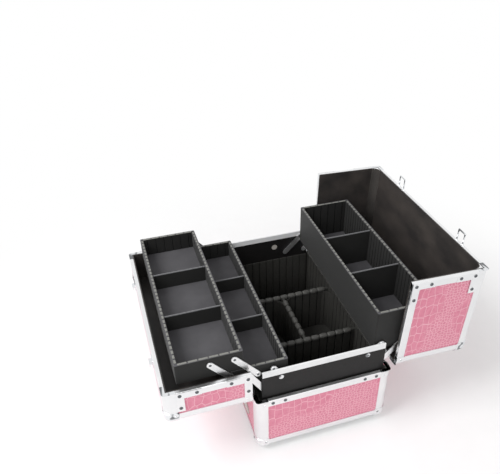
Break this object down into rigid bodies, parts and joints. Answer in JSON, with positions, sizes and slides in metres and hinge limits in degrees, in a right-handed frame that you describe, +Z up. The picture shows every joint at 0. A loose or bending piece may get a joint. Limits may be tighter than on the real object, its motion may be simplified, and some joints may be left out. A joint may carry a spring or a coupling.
{
  "type": "makeup train case",
  "caption": "Open cosmetics train case: panelled box with aluminium edges, hinged front flap and rear lid, swing-out trays on parallel arms, draw latches and a folding bow handle.",
  "frame": {"origin": "on the floor under the centre of the base box, in the plane of the feet's undersides", "axes": "+Z up, X along the length of the case, -Y towards the front flap, +Y towards the rear lid"},
  "size_m": [0.37, 0.5299, 0.3039],
  "materials": {
    "embossed_leatherette": "pink embossed leatherette on board",
    "black_lining": "matte",
    "charcoal_tray": "matte",
    "satin_aluminium": "satin",
    "chrome": "polished",
    "black_plate": "matte",
    "rubber": "matte",
    "black_grip": "satin"
  },
  "bodies": {
    "base": {"base_bottom_corners": "satin_aluminium", "base_bottom_rails": "satin_aluminium", "base_corner_posts": "satin_aluminium", "base_divider_long": "black_lining", "base_dividers_cross": "black_lining", "base_feet": "rubber", "base_floor": "black_plate", "base_lining": "black_lining", "base_panels_end": "embossed_leatherette", "base_panels_long": "embossed_leatherette", "base_rim_corners": "chrome", "base_rim_rails": "satin_aluminium", "hinge_leaves_base": "chrome", "hinge_pins": "chrome", "support_plate_rivets": "chrome", "support_plate_trims": "satin_aluminium", "support_plates": "black_plate"},
    "flap": {"flap_corner_caps": "chrome", "flap_corner_plates": "chrome", "flap_edge_rails": "satin_aluminium", "flap_hinge_leaves": "chrome", "flap_liner": "black_lining", "flap_panel_long": "embossed_leatherette", "flap_panel_top": "embossed_leatherette", "flap_panels_end": "embossed_leatherette", "flap_rim_rails": "satin_aluminium", "flap_strikes": "chrome"},
    "lid": {"handle_brackets": "chrome", "latch_bases": "chrome", "lid_corner_caps": "chrome", "lid_corner_plates": "chrome", "lid_edge_rails": "satin_aluminium", "lid_hinge_leaves": "chrome", "lid_liner": "black_lining", "lid_panel_long": "embossed_leatherette", "lid_panel_top": "embossed_leatherette", "lid_panels_end": "embossed_leatherette", "lid_rim_rails": "satin_aluminium"},
    "handle": {"handle_bow": "chrome", "handle_grip": "black_grip"},
    "latch_bail_left": {"latch_bail_left": "chrome"},
    "latch_bail_right": {"latch_bail_right": "chrome"},
    "latch_lever_left": {"latch_lever_left": "chrome"},
    "latch_lever_right": {"latch_lever_right": "chrome"},
    "tray_deep_body": {"tray_deep": "charcoal_tray", "tray_deep_dividers": "charcoal_tray", "tray_deep_lining": "charcoal_tray"},
    "tray_deep_arms_front": {"tray_deep_arms_front": "satin_aluminium"},
    "tray_deep_arms_rear": {"tray_deep_arms_rear": "satin_aluminium"},
    "tray_high_body": {"tray_high": "charcoal_tray", "tray_high_dividers": "charcoal_tray", "tray_high_lining": "charcoal_tray"},
    "tray_high_arms_front": {"tray_high_arms_front": "satin_aluminium"},
    "tray_high_arms_rear": {"tray_high_arms_rear": "satin_aluminium"},
    "tray_low_body": {"tray_low": "charcoal_tray", "tray_low_dividers": "charcoal_tray", "tray_low_lining": "charcoal_tray"},
    "tray_low_arms_front": {"tray_low_arms_front": "satin_aluminium"},
    "tray_low_arms_rear": {"tray_low_arms_rear": "satin_aluminium"}
  },
  "joints": [
    {"name": "flap_hinge", "type": "hinge", "parent": "base", "child": "flap", "pos_m": [0, -0.12, 0.12], "axis": [-1, 0, 0], "range_deg": [0, 90]},
    {"name": "lid_hinge", "type": "hinge", "parent": "base", "child": "lid", "pos_m": [0, 0.12, 0.12], "axis": [1, 0, 0], "range_deg": [0, 92]},
    {"name": "tray_low_front_arm", "type": "hinge", "parent": "base", "child": "tray_low_arms_front", "pos_m": [0, -0.096, 0.132], "axis": [-1, 0, 0], "range_deg": [0, 63]},
    {"name": "tray_low_rear_arm", "type": "hinge", "parent": "base", "child": "tray_low_arms_rear", "pos_m": [0, -0.056, 0.132], "axis": [-1, 0, 0], "range_deg": [0, 63]},
    {"name": "tray_low_level", "type": "hinge", "parent": "tray_low_arms_front", "child": "tray_low_body", "pos_m": [0, -0.12296, 0.176], "axis": [-1, 0, 0], "range_deg": [-63, 0]},
    {"name": "tray_high_front_arm", "type": "hinge", "parent": "tray_low_body", "child": "tray_high_arms_front", "pos_m": [0, -0.14285, 0.17052], "axis": [-1, 0, 0], "range_deg": [0, 80]},
    {"name": "tray_high_rear_arm", "type": "hinge", "parent": "tray_low_body", "child": "tray_high_arms_rear", "pos_m": [0, -0.10685, 0.17052], "axis": [-1, 0, 0], "range_deg": [0, 80]},
    {"name": "tray_high_level", "type": "hinge", "parent": "tray_high_arms_front", "child": "tray_high_body", "pos_m": [0, -0.17724, 0.2115], "axis": [-1, 0, 0], "range_deg": [-80, 0]},
    {"name": "tray_deep_front_arm", "type": "hinge", "parent": "base", "child": "tray_deep_arms_front", "pos_m": [0, 0.056, 0.132], "axis": [1, 0, 0], "range_deg": [0, 90]},
    {"name": "tray_deep_rear_arm", "type": "hinge", "parent": "base", "child": "tray_deep_arms_rear", "pos_m": [0, 0.096, 0.132], "axis": [1, 0, 0], "range_deg": [0, 90]},
    {"name": "tray_deep_level", "type": "hinge", "parent": "tray_deep_arms_front", "child": "tray_deep_body", "pos_m": [0, 0.09631, 0.17231], "axis": [1, 0, 0], "range_deg": [-90, 0]},
    {"name": "handle_fold", "type": "hinge", "parent": "lid", "child": "handle", "pos_m": [0, 0.2651, 0.26352], "axis": [1, 0, 0], "range_deg": [0, 88]},
    {"name": "latch_left_lever", "type": "hinge", "parent": "lid", "child": "latch_lever_left", "pos_m": [-0.098, 0.26124, 0.27917], "axis": [-1, 0, 0], "range_deg": [-100, 0]},
    {"name": "latch_left_bail", "type": "hinge", "parent": "latch_lever_left", "child": "latch_bail_left", "pos_m": [-0.098, 0.26056, 0.27119], "axis": [-1, 0, 0], "range_deg": [0, 100]},
    {"name": "latch_right_lever", "type": "hinge", "parent": "lid", "child": "latch_lever_right", "pos_m": [0.098, 0.26124, 0.27917], "axis": [-1, 0, 0], "range_deg": [-100, 0]},
    {"name": "latch_right_bail", "type": "hinge", "parent": "latch_lever_right", "child": "latch_bail_right", "pos_m": [0.098, 0.26056, 0.27119], "axis": [-1, 0, 0], "range_deg": [0, 100]}
  ],
  "couplings": [
    {"joint": "tray_low_front_arm", "follows": "flap_hinge", "ratio": 0.7},
    {"joint": "tray_low_rear_arm", "follows": "flap_hinge", "ratio": 0.7},
    {"joint": "tray_low_level", "follows": "flap_hinge", "ratio": -0.7},
    {"joint": "tray_high_front_arm", "follows": "flap_hinge", "ratio": 0.88889},
    {"joint": "tray_high_rear_arm", "follows": "flap_hinge", "ratio": 0.88889},
    {"joint": "tray_high_level", "follows": "flap_hinge", "ratio": -0.88889},
    {"joint": "tray_deep_front_arm", "follows": "lid_hinge", "ratio": 0.97826},
    {"joint": "tray_deep_rear_arm", "follows": "lid_hinge", "ratio": 0.97826},
    {"joint": "tray_deep_level", "follows": "lid_hinge", "ratio": -0.97826},
    {"joint": "latch_left_bail", "follows": "latch_left_lever", "ratio": -1},
    {"joint": "latch_right_bail", "follows": "latch_right_lever", "ratio": -1}
  ]
}
